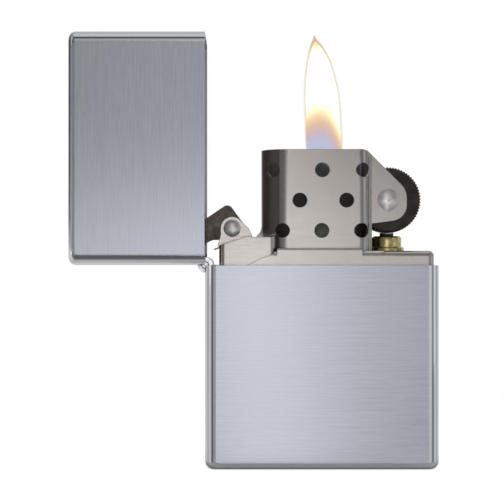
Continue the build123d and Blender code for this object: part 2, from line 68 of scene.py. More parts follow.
class Nodes:
    """Short calls for the nodes of one node tree."""

    def __init__(self, tree):
        self.tree = tree

    def feed(self, socket, value):
        """Link a socket to another, or set its value."""
        if isinstance(value, bpy.types.NodeSocket):
            self.tree.links.new(value, socket)
        else:
            socket.default_value = value

    def add(self, kind, sockets=None, **settings):
        node = self.tree.nodes.new("ShaderNode" + kind)
        for key, value in settings.items():
            setattr(node, key, value)
        for socket, value in (sockets or {}).items():
            self.feed(node.inputs[socket], value)
        return node

    def place(self, scale=(1, 1, 1)):
        """Object coordinates in millimetres, then scaled."""
        coords = self.add("TexCoord").outputs["Object"]
        sockets = {"Vector": coords, "Scale": [TO_MM * part for part in scale]}
        return self.add("Mapping", sockets).outputs["Vector"]

    def noise(self, cells, detail=3.0, roughness=0.55):
        """Noise with this many cells per millimetre, one number or one for each axis."""
        scale = cells if isinstance(cells, tuple) else (cells,) * 3
        sockets = {"Vector": self.place(scale), "Scale": 1.0, "Detail": detail, "Roughness": roughness}
        return self.add("TexNoise", sockets).outputs["Fac"]

    def math(self, operation, first, second=0.0, third=0.0):
        sockets = {0: first, 1: second, 2: third}
        return self.add("Math", sockets, operation=operation).outputs[0]

    def length(self, first, second):
        """Length of a vector of two parts."""
        squares = [self.math("MULTIPLY", part, part) for part in (first, second)]
        return self.math("SQRT", self.math("ADD", *squares))

    def off(self, value, middle):
        """Distance of a value from a middle, on either side."""
        return self.math("ABSOLUTE", self.math("SUBTRACT", value, middle))

    def past(self, value, middle, half):
        """How far a value lies past a band round its middle."""
        return self.math("MAXIMUM", self.math("SUBTRACT", self.off(value, middle), half), 0.0)

    def weigh(self, first, share, second):
        """Two numbers in the given share and what is left of it."""
        return self.math("MULTIPLY_ADD", first, share, self.math("MULTIPLY", second, 1 - share))

    def spread(self, value, low, high, to_low=0.0, to_high=1.0):
        """Map a range to another, held at its ends."""
        sockets = {"Value": value, "From Min": low, "From Max": high, "To Min": to_low, "To Max": to_high}
        return self.add("MapRange", sockets, clamp=True).outputs["Result"]

    def ramp(self, value, *stops):
        """Colour ramp through (position, colour) stops."""
        node = self.add("ValToRGB", {"Fac": value})
        elements = node.color_ramp.elements
        while len(elements) < len(stops):
            elements.new(0.5)
        for element, (position, colour) in zip(elements, stops):
            element.position = position
            element.color = (*colour, 1.0)
        return node.outputs["Color"]

    def mix(self, share, first, second):
        """Mix two colours, either of them a socket or three numbers."""
        node = self.add("Mix", data_type="RGBA")
        self.feed(node.inputs["Factor"], share)
        for index, value in ((6, first), (7, second)):
            self.feed(node.inputs[index], value if isinstance(value, bpy.types.NodeSocket) else (*value, 1.0))
        return node.outputs[2]

    def blend(self, share, first, second):
        """Mix two numbers."""
        node = self.add("Mix", data_type="FLOAT")
        for index, value in ((0, share), (2, first), (3, second)):
            self.feed(node.inputs[index], value)
        return node.outputs[0]

    def axes(self, vector):
        node = self.add("SeparateXYZ", {"Vector": vector})
        return node.outputs["X"], node.outputs["Y"], node.outputs["Z"]

    def bump(self, height, distance, strength=1.0, under=None):
        sockets = {"Height": height, "Distance": distance, "Strength": strength}
        if under is not None:
            sockets["Normal"] = under
        return self.add("Bump", sockets).outputs["Normal"]

    def soft_edges(self, radius, samples):
        """Normals rounded over the edges."""
        return self.add("Bevel", {"Radius": radius}, samples=samples).outputs["Normal"]

    def openness(self, distance):
        """Ambient occlusion: 1 in the open, less in creases of this size."""
        return self.add("AmbientOcclusion", {"Distance": distance}, samples=6).outputs["AO"]


class Look(Nodes):
    """A surface material under construction."""

    def __init__(self, name, **sockets):
        self.material = bpy.data.materials.new(name)
        self.material.use_nodes = True
        super().__init__(self.material.node_tree)
        self.shader = self.tree.nodes["Principled BSDF"]
        self.set(**sockets)

    def set(self, **sockets):
        """Set or link sockets of the shader, their spaces written as underscores."""
        for socket, value in sockets.items():
            self.feed(self.shader.inputs[socket.replace("_", " ")], value)
        return self.material


# ---------------------------------------------------------------- materials

HALF_WALL = 0.33       # of the case and lid, in mm
OPEN_END = -9          # a margin that lets the brushed field run off a shell's open end, in mm

# Depths of relief under the light, in metres
HAIRLINE = 0.00002
GRAIN = 0.00005
FUZZ = 0.00015


def brushed_field(look, low, high, margins, corner, fray):
    """1 inside the brushed rectangle with rounded corners on the two broad faces, 0 round it."""
    x, y, z = look.axes(look.place())
    past = []
    for axis, start, end in (
        (x, low.x * TO_MM + margins[0], high.x * TO_MM - margins[1]),
        (z, low.z * TO_MM + margins[2], high.z * TO_MM - margins[3]),
    ):
        past.append(look.past(axis, (start + end) / 2, (end - start) / 2 - corner))
    fray_width, fade_in, fade_out = 0.16, 0.02, 0.22
    ragged = look.math("MULTIPLY_ADD", fray, fray_width, look.length(*past))
    inside = look.spread(ragged, corner - fade_in, corner + fade_out, 1.0, 0.0)
    face, edge_deep, edge_shallow = FACE_Y * TO_MM, 0.75, 0.6
    broad = look.spread(look.math("ABSOLUTE", y), face - edge_deep, face - edge_shallow)
    return look.math("MULTIPLY", inside, broad)


def inner_faces(look, low, high, open_axis):
    """1 on a shell's inner faces: all that is deeper than half the wall from its outer skin."""
    axes = look.axes(look.place())
    middle, half = (low + high) / 2 * TO_MM, (high - low) / 2 * TO_MM
    depths = [
        look.math("SUBTRACT", half[index] - HALF_WALL, look.off(axes[index], middle[index]))
        for index in range(3)
        if index != open_axis
    ]
    sides = look.math("MINIMUM", *depths)
    closed_end = look.math("SUBTRACT", axes[open_axis], low[open_axis] * TO_MM + HALF_WALL)
    return look.spread(look.math("MINIMUM", sides, closed_end), 0.0, 0.05)


def brushed_shell(name, grain, low, high, margins, corner):
    """Chrome plate: satin brushing along the grain axis on the two broad faces, polish round their edges.

    margins is (x low, x high, z low, z high) in mm from the shell's ends to the brushed field, and
    corner the radius of the field's corners.
    """
    look = Look(name, Metallic=1.0)
    # The case is brushed along X and opens at its high Z; the lid is brushed along Z and opens at high X
    open_axis = {"X": 2, "Z": 0}[grain]
    along, across = 0.085, 4.2
    stretch = (along, across, across) if grain == "X" else (across, across, along)
    finer = 4.1
    streaks = look.noise(stretch, 5.0, 0.7)
    fine = look.noise(tuple(finer * part for part in stretch), 3.0, 0.65)
    grainy = look.weigh(fine, 0.5, streaks)
    brushed = brushed_field(look, low, high, margins, corner, fine)
    inner = inner_faces(look, low, high, open_axis)

    cloud = look.noise(0.05, 2.0)
    tone = look.spread(grainy, 0.36, 0.64)
    field = look.mix(tone, (0.56, 0.58, 0.64), (0.75, 0.775, 0.845))
    plate = look.mix(cloud, (0.72, 0.725, 0.735), (0.77, 0.775, 0.785))
    edge = look.mix(inner, plate, (0.66, 0.66, 0.67))
    satin = look.spread(grainy, 0.34, 0.66, 0.27, 0.37)
    smudge = look.spread(cloud, 0.4, 0.7, 0.035, 0.075)
    polish = look.blend(inner, smudge, 0.42)
    relief = look.math("MULTIPLY", grainy, brushed)

    # The highlight of a brushed face is drawn out across the grain
    drawn_out = tuple(float(index == open_axis) for index in range(3))
    tangent = look.add("VectorTransform", {"Vector": drawn_out}, convert_from="OBJECT", convert_to="WORLD")
    look.set(Tangent=tangent.outputs["Vector"], Anisotropic=look.math("MULTIPLY", brushed, 0.75))
    return look.set(
        Base_Color=look.mix(brushed, edge, field),
        Roughness=look.blend(brushed, polish, satin),
        Normal=look.bump(relief, HAIRLINE, 0.12),
    )


def polished_hinge():
    """Plated hinge leaf and knuckles, with fine marks from forming and painted shade in the creases."""
    look = Look("hinge_plate", Metallic=1.0)
    marks = look.noise((4, 0.7, 4), 4.0)
    dirt = look.noise(1.2, 5.0)
    plate = look.ramp(dirt, (0.35, (0.42, 0.42, 0.43)), (0.65, (0.62, 0.62, 0.64)))
    # Painted shade: the plate's colour darkens towards near black in creases found by ambient occlusion
    crease_shade = look.spread(look.openness(0.7 * MM), 0.3, 0.8, 0.9, 0.0)
    tint = look.mix(crease_shade, plate, (0.05, 0.047, 0.045))
    rough = look.spread(marks, 0.3, 0.7, 0.12, 0.26)
    return look.set(Base_Color=tint, Roughness=rough, Normal=look.bump(marks, HAIRLINE, 0.3))


def chimney_inside(look):
    """1 on the inner faces of the chimney, told from the outer ones by their reach from its middle line."""
    x, y, z = look.axes(look.place())
    foot_to_nose_middle = 5.45
    nose_middle = GUARD_LOW.x * TO_MM + foot_to_nose_middle
    past_nose = look.math("MINIMUM", look.math("SUBTRACT", x, nose_middle), 0.0)
    reach = look.length(past_nose, y)
    # The walls draw in from the chimney's body to the ears that hold the wheel
    body_end, ears_start = 6.4, 8.0
    body_reach, ears_reach = 4.22, 3.08
    limit = look.spread(x, body_end, ears_start, body_reach, ears_reach)
    within = look.spread(look.math("SUBTRACT", limit, reach), 0.0, 0.06)
    deck = HINGE_Z * TO_MM + 2.5
    above_deck = look.spread(z, deck - 0.1, deck + 0.1)
    nose_tip = -9.7
    clear_of_cam = look.spread(x, nose_tip - 0.05, nose_tip + 0.05)
    return look.math("MULTIPLY", look.math("MULTIPLY", within, above_deck), clear_of_cam)


def insert_sheet():
    """Rolled stainless sheet, warm grey, with faint rolling lines, soft edges, painted shade in its creases
    and painted shade on the chimney's inner faces.
    """
    look = Look("insert_sheet", Metallic=1.0)
    rolling = look.noise((0.35, 0.35, 7), 4.0, 0.6)
    cloud = look.noise(0.12, 2.0)
    pits = look.noise(9)
    tint = look.ramp(cloud, (0.3, (0.465, 0.430, 0.400)), (0.7, (0.505, 0.468, 0.438)))
    # Painted shade: the sheet's colour darkens to dark brown in creases found by ambient occlusion
    crease_shade = look.spread(look.openness(0.9 * MM), 0.25, 0.62, 1.0, 0.0)
    shaded_sheet_tint = look.mix(look.math("MULTIPLY", crease_shade, 0.8), tint, (0.05, 0.038, 0.03))
    # Painted shade: the chimney's inner faces are coloured a pitted dark brown-grey and made matt
    chimney_shade_mask = chimney_inside(look)
    chimney_shade_tint = look.mix(pits, (0.10, 0.085, 0.075), (0.26, 0.23, 0.205))
    grainy = look.weigh(rolling, 0.6, pits)
    return look.set(
        Base_Color=look.mix(chimney_shade_mask, shaded_sheet_tint, chimney_shade_tint),
        Roughness=look.blend(chimney_shade_mask, look.spread(grainy, 0.3, 0.7, 0.19, 0.28), 0.55),
        Normal=look.bump(grainy, 0.5 * HAIRLINE, 0.2, look.soft_edges(0.13 * MM, 6)),
    )


def rivet_steel():
    """Turned rivet heads with soft edges and rubbed high spots."""
    look = Look("rivet_steel", Metallic=1.0)
    spots = look.noise(0.6)
    fine = look.noise(10, 2.0)
    tint = look.ramp(spots, (0.35, (0.80, 0.775, 0.75)), (0.7, (0.90, 0.875, 0.845)))
    rough = look.spread(spots, 0.3, 0.7, 0.28, 0.34)
    relief = look.bump(fine, 0.3 * HAIRLINE, 0.2, look.soft_edges(0.1 * MM, 4))
    return look.set(Base_Color=tint, Roughness=rough, Normal=relief)


def spring_steel():
    """Blued spring strip and wire."""
    look = Look("spring_strip", Metallic=1.0)
    grainy = look.noise((1.0, 8, 1.0), 4.0)
    tint = look.ramp(grainy, (0.3, (0.16, 0.155, 0.15)), (0.7, (0.27, 0.26, 0.25)))
    rough = look.spread(grainy, 0.3, 0.7, 0.24, 0.42)
    return look.set(Base_Color=tint, Roughness=rough, Normal=look.bump(grainy, HAIRLINE, 0.4))


def cam_steel():
    """Sintered, oiled steel: dark brown-grey, mottled and pitted."""
    look = Look("cam_sinter", Metallic=0.85)
    mottle = look.noise(1.1, 6.0, 0.65)
    pits = look.noise(7, 5.0, 0.7)
    tint = look.ramp(
        mottle,
        (0.30, (0.085, 0.070, 0.060)),
        (0.52, (0.175, 0.146, 0.125)),
        (0.72, (0.290, 0.245, 0.212)),
    )
    rough = look.spread(pits, 0.3, 0.7, 0.34, 0.55)
    return look.set(Base_Color=tint, Roughness=rough, Normal=look.bump(pits, 1.2 * GRAIN, 0.5))


def wheel_steel():
    """Hardened toothed wheel: near black, with the teeth's tips rubbed lighter."""
    look = Look("wheel_steel", Metallic=0.7)
    grit = look.noise(6, 5.0, 0.7)
    cloud = look.noise(0.6)
    x, _, z = look.axes(look.place())
    centre = (WHEEL_LOW + WHEEL_HIGH) / 2 * TO_MM
    reach = look.length(look.math("SUBTRACT", x, centre.x), look.math("SUBTRACT", z, centre.z))
    rim = (WHEEL_HIGH.x - WHEEL_LOW.x) / 2 * TO_MM
    tip_foot, tip_crest = rim - 0.16, rim - 0.02
    tips = look.spread(reach, tip_foot, tip_crest)
    base = look.ramp(cloud, (0.3, (0.040, 0.032, 0.029)), (0.7, (0.085, 0.069, 0.063)))
    worn = look.mix(look.math("MULTIPLY", tips, 0.55), base, (0.15, 0.13, 0.12))
    rough = look.spread(grit, 0.3, 0.7, 0.36, 0.62)
    return look.set(Base_Color=worn, Roughness=rough, Normal=look.bump(grit, 0.8 * GRAIN, 0.5))


def turned_brass():
    """Lathe-turned brass with fine rings and brown tarnish."""
    look = Look("turned_brass", Metallic=1.0)
    rings = look.noise((0.2, 0.2, 16))
    tarnish = look.noise(0.9, 5.0, 0.6)
    tint = look.ramp(
        tarnish,
        (0.32, (0.30, 0.235, 0.10)),
        (0.55, (0.66, 0.56, 0.26)),
        (0.75, (0.86, 0.78, 0.46)),
    )
    rough = look.spread(tarnish, 0.3, 0.7, 0.32, 0.16)
    return look.set(Base_Color=tint, Roughness=rough, Normal=look.bump(rings, 1.5 * HAIRLINE, 0.35))


def flint_grey():
    """Cast flint alloy, matt and granular."""
    look = Look("flint_grain", Metallic=0.4)
    grain = look.noise(8, 5.0, 0.7)
    tint = look.ramp(grain, (0.3, (0.05, 0.045, 0.045)), (0.7, (0.15, 0.14, 0.135)))
    rough = look.spread(grain, 0.3, 0.7, 0.5, 0.75)
    return look.set(Base_Color=tint, Roughness=rough, Normal=look.bump(grain, 1.6 * GRAIN, 0.6))


def wick_fibre():
    """Braided wick, off-white below and charred at its mouth."""
    look = Look("wick_fibre", Roughness=0.92, Sheen_Weight=0.3)
    height = look.axes(look.place())[2]
    fuzz = look.noise((9, 9, 5), 5.0, 0.7)
    uneven = look.math("MULTIPLY_ADD", fuzz, 1.6, height)
    top, charred_length = WICK_HIGH.z * TO_MM, 3.6
    char = look.spread(uneven, top + 0.4 - charred_length, top + 0.4)
    clean = look.mix(fuzz, (0.52, 0.46, 0.36), (0.80, 0.75, 0.64))
    tint = look.mix(char, clean, (0.022, 0.018, 0.015))
    return look.set(Base_Color=tint, Normal=look.bump(fuzz, FUZZ, 0.7))


def copper_wire():
    """Thin copper strand, browned by heat."""
    look = Look("copper_wire", Metallic=1.0)
    heat = look.noise(2, 4.0)
    tint = look.ramp(heat, (0.35, (0.22, 0.09, 0.05)), (0.7, (0.66, 0.33, 0.20)))
    rough = look.spread(heat, 0.3, 0.7, 0.45, 0.25)
    return look.set(Base_Color=tint, Roughness=rough)


def cotton_wool(name, low, high, cells):
    """Loose or pressed fibre: colour and bump from tangled noise with this many cells per millimetre."""
    look = Look(name, Roughness=0.95, Sheen_Weight=0.4)
    warp = look.noise(cells, 6.0, 0.75)
    tufts = look.noise(cells / 5, 4.0, 0.6)
    both = look.weigh(warp, 0.6, tufts)
    tint = look.ramp(both, (0.32, low), (0.68, high))
    return look.set(Base_Color=tint, Normal=look.bump(both, 2 * FUZZ, 0.8))


# ---------------------------------------------------------------- mesh helpers


def new_object(name, mesh, material):
    piece = bpy.data.objects.new(name, mesh)
    bpy.context.scene.collection.objects.link(piece)
    mesh.materials.append(material)
    return piece


def closed_skin(name, rings, material):
    """A smooth closed surface through rings of points, with a flat cap at each end."""
    mesh = bpy.data.meshes.new(name)
    build = bmesh.new()
    loops = [[build.verts.new(point) for point in ring] for ring in rings]
    for lower, upper in zip(loops, loops[1:]):
        for step in range(len(lower)):
            after = (step + 1) % len(lower)
            build.faces.new((lower[step], lower[after], upper[after], upper[step]))
    build.faces.new(list(reversed(loops[0])))
    build.faces.new(loops[-1])
    bmesh.ops.recalc_face_normals(build, faces=build.faces)
    build.to_mesh(mesh)
    build.free()
    for face in mesh.polygons:
        face.use_smooth = True
    return new_object(name, mesh, material)


def lathe(name, rows, steps, place, material):
    """A closed surface from rows of (height, radius), put in space by place.

    A radius is a number or a function of the angle.
    """
    rings = []
    for height, radius in rows:
        ring = []
        for step in range(steps):
            angle = TURN * step / steps
            reach = radius(angle) if callable(radius) else radius
            ring.append(place(reach * math.cos(angle), reach * math.sin(angle), height))
        rings.append(ring)
    return closed_skin(name, rings, material)


def strand(name, points, radius, material):
    """A thin round fibre or wire along a smooth line, as a mesh."""
    curve = bpy.data.curves.new(name, "CURVE")
    curve.dimensions = "3D"
    spline = curve.splines.new("NURBS")
    spline.points.add(len(points) - 1)
    for point, where in zip(spline.points, points):
        point.co = (*where, 1.0)
    spline.order_u = 3
    spline.use_endpoint_u = True
    curve.bevel_depth = radius
    curve.bevel_resolution = 2
    curve.resolution_u = 5
    curve.use_fill_caps = True
    holder = bpy.data.objects.new(name, curve)
    mesh = bpy.data.meshes.new_from_object(holder)
    bpy.data.objects.remove(holder)
    return new_object(name, mesh, material)


def join(name, objects):
    """Several meshes as one object."""
    for thing in bpy.context.selected_objects:
        thing.select_set(False)
    for thing in objects:
        thing.select_set(True)
    bpy.context.view_layer.objects.active = objects[0]
    bpy.ops.object.join()
    objects[0].name = name
    return objects[0]


# ---------------------------------------------------------------- pieces


def open_bore(wheel):
    """Turn the two end caps of a lathed ring into one sleeve."""
    build = bmesh.new()
    build.from_mesh(wheel.data)
    caps = [face for face in build.faces if len(face.verts) > 8]
    edges = [edge for cap in caps for edge in cap.edges]
    bmesh.ops.delete(build, geom=caps, context="FACES_ONLY")
    bmesh.ops.bridge_loops(build, edges=edges)
    bmesh.ops.recalc_face_normals(build, faces=build.faces)
    build.to_mesh(wheel.data)
    build.free()


def toothed_wheel(material):
    """Flint wheel with cross-cut teeth all round its rim."""
    centre = (WHEEL_LOW + WHEEL_HIGH) / 2
    radius = (WHEEL_HIGH.x - WHEEL_LOW.x) / 2
    half = 2.6 * MM
    boss = WHEEL_HIGH.y - centre.y
    teeth, slant, depth = 68, 0.3, 0.25 * MM
    fine_rows, rings, steps_per_tooth = 36, 6, 8
    shoulder_start, shoulder_drop = 0.86, 0.30 * MM

    def tread(across):
        """Radius of the rim at an angle; across runs from -1 to 1 over the wheel's width."""
        def reach(angle):
            tooth = teeth * angle / TURN + slant * across
            groove = rings * (across + 1) / 2
            ridge, gap = (abs(2 * (phase - math.floor(phase)) - 1) for phase in (tooth, groove))
            height = min(1.0, 1.2 * ridge, 0.3 + 1.6 * gap)
            shoulder = max(0.0, abs(across) - shoulder_start) / (1 - shoulder_start)
            return radius - depth * (1 - height) * (1 - 0.3 * shoulder) - shoulder_drop * shoulder**2
        return reach

    bore, hub, rim = 1.02 * MM, 1.9 * MM, radius - 0.75 * MM
    side = [(-boss, bore), (-boss, hub - 0.15 * MM), (-boss + 0.1 * MM, hub), (-half, hub), (-half, rim)]
    middle = []
    for row in range(fine_rows + 1):
        across = 2 * row / fine_rows - 1
        middle.append((across * half, tread(across)))
    other = [(-height, reach) for height, reach in reversed(side)]

    def place(u, v, height):
        return Vector((centre.x + u, centre.y + height, centre.z + v))

    wheel = lathe("flint_wheel_teeth", side + middle + other, teeth * steps_per_tooth, place, material)
    wheel.data.polygons.foreach_set("use_smooth", [False] * len(wheel.data.polygons))
    open_bore(wheel)
    return wheel


def wick_cord(centre, radius, material):
    """The braid, its strands crossing round it and its mouth rounded over."""
    length = WICK_HIGH.z - WICK_LOW.z
    pairs, pitch, mouth = 5, 4.2 * MM, 1.4 * MM
    weave_depth, fray_depth, bumps_round, bumps_per_metre = 0.09, 0.05, 3, 2500
    core = 0.90
    rows_up, steps_round = 150, 60

    def skin(height, taper):
        def reach(angle):
            turns = height / pitch
            left = math.sin(pairs * angle + TURN * turns)
            right = math.sin(pairs * angle - TURN * turns)
            weave = max(left, right)
            spot = (math.cos(angle) * bumps_round, math.sin(angle) * bumps_round, height * bumps_per_metre)
            ragged = noise.noise(Vector(spot))
            return radius * taper * (core + weave_depth * weave + fray_depth * ragged)
        return reach

    rows = []
    for row in range(rows_up + 1):
        height = length * row / rows_up
        left_over = (length - height) / mouth
        taper = math.sqrt(max(0.02, 1 - max(0.0, 1 - left_over) ** 2))
        rows.append((height, skin(height, taper)))

    def place(u, v, height):
        return Vector((centre.x + u, centre.y + v, WICK_LOW.z + height))

    return lathe("wick_cord", rows, steps_round, place, material)


def wick_tuft(centre, radius, material):
    """Loose fibres frayed out of the wick's mouth."""
    dice = random.Random(4)
    count, thickness, root_depth, root_share = 70, 0.035 * MM, 0.9 * MM, 0.92
    bend_share, bend_height, end_height = 0.4, 0.6 * MM, 0.7 * MM
    up = Vector((0, 0, 1))
    fibres = []
    for index in range(count):
        angle = dice.uniform(0, TURN)
        reach = radius * math.sqrt(dice.random()) * root_share
        lean = dice.uniform(0.2, 0.9) * MM
        rise = dice.uniform(0.1, 0.9) * MM
        outward = Vector((math.cos(angle), math.sin(angle), 0))
        foot = Vector((centre.x, centre.y, WICK_HIGH.z - root_depth)) + outward * reach
        bend = outward * lean * bend_share + up * (bend_height + rise * bend_share)
        end = outward * lean + up * (end_height + rise)
        fibres.append(strand(f"fibre{index}", [foot, foot + bend, foot + end], thickness, material))
    return join("wick_tuft", fibres)


def wick_wires(centre, material):
    """The ends of the wick's three copper strands, each swirling upwards."""
    count, points, thickness = 3, 7, 0.07 * MM
    off_centre, root_depth, first_angle = 0.5 * MM, 1.5 * MM, 0.5
    swirl_step, swirl_radius, climb = 0.7, 0.16 * MM, 0.42 * MM
    wires = []
    for index in range(count):
        angle = TURN * index / count + first_angle
        outward = Vector((math.cos(angle), math.sin(angle), 0))
        foot = Vector((centre.x, centre.y, WICK_HIGH.z - root_depth)) + outward * off_centre
        steps = []
        for step in range(points):
            swirl = angle + step * swirl_step
            sway = Vector((math.cos(swirl), math.sin(swirl), 0)) * swirl_radius
            steps.append(foot + sway + Vector((0, 0, step * climb)))
        wires.append(strand(f"wire{index}", steps, thickness, material))
    return join("wick_wires", wires)


def braided_wick(material, wire):
    """Braided cord with a frayed, charred mouth and the ends of its copper strands."""
    centre = (WICK_LOW + WICK_HIGH) / 2
    radius = (WICK_HIGH.x - WICK_LOW.x) / 2
    return wick_cord(centre, radius, material), wick_tuft(centre, radius, material), wick_wires(centre, wire)


def fluffed(name, node, material, cell, lift, seed):
    """A soft copy of a CAD solid: remeshed evenly, then ruffled by noise within its own space."""
    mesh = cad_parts[node].data.copy()
    mesh.materials.clear()
    piece = new_object(name, mesh, material)
    remesh = piece.modifiers.new("even", "REMESH")
    remesh.mode = "VOXEL"
    remesh.voxel_size = cell
    shrink = piece.modifiers.new("inset", "DISPLACE")
    shrink.strength = -lift
    shrink.mid_level = 0.0
    bpy.context.view_layer.update()
    graph = bpy.context.evaluated_depsgraph_get()
    made = bpy.data.meshes.new_from_object(piece.evaluated_get(graph))
    piece.modifiers.clear()
    piece.data = made
    tufts_per_mm, dimension, lacunarity, octaves, contrast = 0.9, 0.6, 2.0, 4, 1.6
    for vertex in made.vertices:
        spot = vertex.co * TO_MM * tufts_per_mm + Vector((seed, 0, 0))
        ruffle = noise.fractal(spot, dimension, lacunarity, octaves)
        vertex.co += vertex.normal * lift * max(-1.0, min(1.0, ruffle * contrast))
    for face in made.polygons:
        face.use_smooth = True
    return piece


# ---------------------------------------------------------------- flame

# Outline in millimetres: height, left edge and right edge seen from the front
FLAME = [
    (43.6, -0.7, 1.9),
    (48.0, -1.9, 3.0),
    (53.0, -2.45, 3.75),
    (58.0, -2.70, 3.60),
    (62.0, -2.82, 3.30),
    (65.0, -2.70, 2.62),
    (67.8, -2.35, 1.76),
    (70.2, -1.78, 0.42),
    (71.6, -1.30, -0.66),
    (72.2, -1.08, -1.06),
]

# Three nested skins: thin outer edge, pale body, white heart. Heights and insets in millimetres;
# colours and covers (how much of the skin glows instead of being clear) are stops by height.
FLAME_SKINS = [
    {
        "name": "flame_edge", "bottom": 43.6, "top": 72.2, "inset": 0.0, "strength": 1.0,
        "colours": [
            (52, (0.22, 0.28, 0.66)),
            (55, (0.40, 0.32, 0.52)),
            (58, (0.80, 0.58, 0.38)),
            (62, (0.70, 0.70, 0.52)),
            (69, (0.66, 0.62, 0.38)),
            (72, (0.48, 0.30, 0.16)),
        ],
        "covers": [(50.7, 0.0), (52.2, 0.24), (56, 0.24), (60, 0.3), (68, 0.34), (71, 0.45)],
    },
    {
        "name": "flame_body", "bottom": 44.0, "top": 71.6, "inset": 0.16, "strength": 1.0,
        "colours": [
            (52.4, (0.40, 0.56, 0.68)),
            (54.4, (0.47, 0.50, 0.68)),
            (56.2, (0.60, 0.38, 0.40)),
            (57.4, (0.78, 0.44, 0.20)),
            (58.6, (0.94, 0.66, 0.32)),
            (60, (1.0, 0.90, 0.56)),
            (63, (0.86, 0.84, 0.66)),
            (71.5, (0.80, 0.52, 0.22)),
        ],
        "covers": [
            (50.7, 0.0), (52.2, 0.45), (54.5, 0.5), (57.4, 0.5),
            (59, 0.45), (61, 0.24), (68, 0.24), (70.5, 0.4),
        ],
    },
    {
        "name": "flame_heart", "bottom": 52.8, "top": 71.0, "inset": 0.40, "strength": 2.6,
        "colours": [
            (58.2, (1.0, 0.72, 0.36)),
            (60, (1.0, 0.90, 0.55)),
            (62, (1.0, 0.98, 0.86)),
            (69, (1.0, 0.98, 0.88)),
            (70.5, (1.0, 0.86, 0.55)),
        ],
        "covers": [(58.4, 0.0), (60.2, 0.35), (62.2, 1.0), (69.2, 1.0), (70.6, 0.3)],
    },
]


def flame_edges(height):
    """Left and right edge of the flame at a height, by a smooth curve through the outline."""
    height = max(FLAME[0][0], min(FLAME[-1][0], height))
    index = max(i for i in range(len(FLAME) - 1) if FLAME[i][0] <= height)
    before, start = FLAME[max(0, index - 1)], FLAME[index]
    end, after = FLAME[index + 1], FLAME[min(len(FLAME) - 1, index + 2)]
    share = (height - start[0]) / (end[0] - start[0])
    edges = []
    for side in (1, 2):
        slope_in = (end[side] - before[side]) / (end[0] - before[0]) * (end[0] - start[0])
        slope_out = (after[side] - start[side]) / (after[0] - start[0]) * (end[0] - start[0])
        square, cube = share**2, share**3
        edges.append(
            (2 * cube - 3 * square + 1) * start[side]
            + (cube - 2 * square + share) * slope_in
            + (3 * square - 2 * cube) * end[side]
            + (cube - square) * slope_out
        )
    return edges


def flame_shell(name, bottom, top, inset, material):
    """One skin of the flame, a little inside the outline, closed at its top and its foot."""
    rows_up, steps_round, flatness = 70, 48, 0.78
    rings = []
    for row in range(rows_up + 1):
        share = row / rows_up
        # The rows crowd towards the tip
        height = bottom + (top - bottom) * (1 - (1 - share) ** 1.4)
        left, right = flame_edges(height)
        close = min(1.0, math.sqrt(max(0.0, 1 - share) * 8)) * min(1.0, math.sqrt(share * 14) + 0.05)
        middle, half = (left + right) / 2, max(0.02, ((right - left) / 2 - inset) * close)
        ring = []
        for step in range(steps_round):
            angle = TURN * step / steps_round
            spot = (middle + half * math.cos(angle), flatness * half * math.sin(angle), height)
            ring.append(Vector(spot) * MM)
        rings.append(ring)
    return closed_skin(name, rings, material)


def flame_glow(name, colours, covers, strength):
    """Glowing skin whose colour and cover change with height."""
    look = Look(name)
    x, _, z = look.axes(look.place())
    lick = look.noise((0.25, 0.25, 0.12))
    low, high = FLAME[0][0], FLAME[-1][0]
    # The colours arch up in the middle of the flame's foot, and waver a little
    foot_middle, foot_half = -0.1, 3.1
    lean = look.math("DIVIDE", look.math("SUBTRACT", x, foot_middle), foot_half)
    bow = look.math("MULTIPLY", look.math("MULTIPLY", lean, lean), look.spread(x, -1.0, 2.0, 2.2, 3.6))
    arch = look.math("MULTIPLY", bow, look.spread(z, 59.0, 66.0, 1.0, 0.0))
    waver = look.math("MULTIPLY_ADD", look.math("SUBTRACT", lick, 0.5), 1.2, look.math("ADD", z, arch))
    rise = look.spread(waver, low, high)
    span = high - low
    tint = look.ramp(rise, *[((height - low) / span, colour) for height, colour in colours])
    cover = look.ramp(rise, *[((height - low) / span, (share,) * 3) for height, share in covers])
    light = look.add("Emission", {"Color": tint, "Strength": strength})
    clear = look.add("BsdfTransparent")
    both = look.add("MixShader", {0: cover, 1: clear.outputs[0], 2: light.outputs[0]})
    look.tree.nodes.remove(look.shader)
    look.tree.links.new(both.outputs[0], look.tree.nodes["Material Output"].inputs["Surface"])
    return look.material


def light_flame():
    """The flame rides on the insert."""
    for skin in FLAME_SKINS:
        material = flame_glow(skin["name"], skin["colours"], skin["covers"], skin["strength"])
        shell = flame_shell(skin["name"], skin["bottom"], skin["top"], skin["inset"], material)
        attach(shell, "insert")
        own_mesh(shell)


# ---------------------------------------------------------------- studio

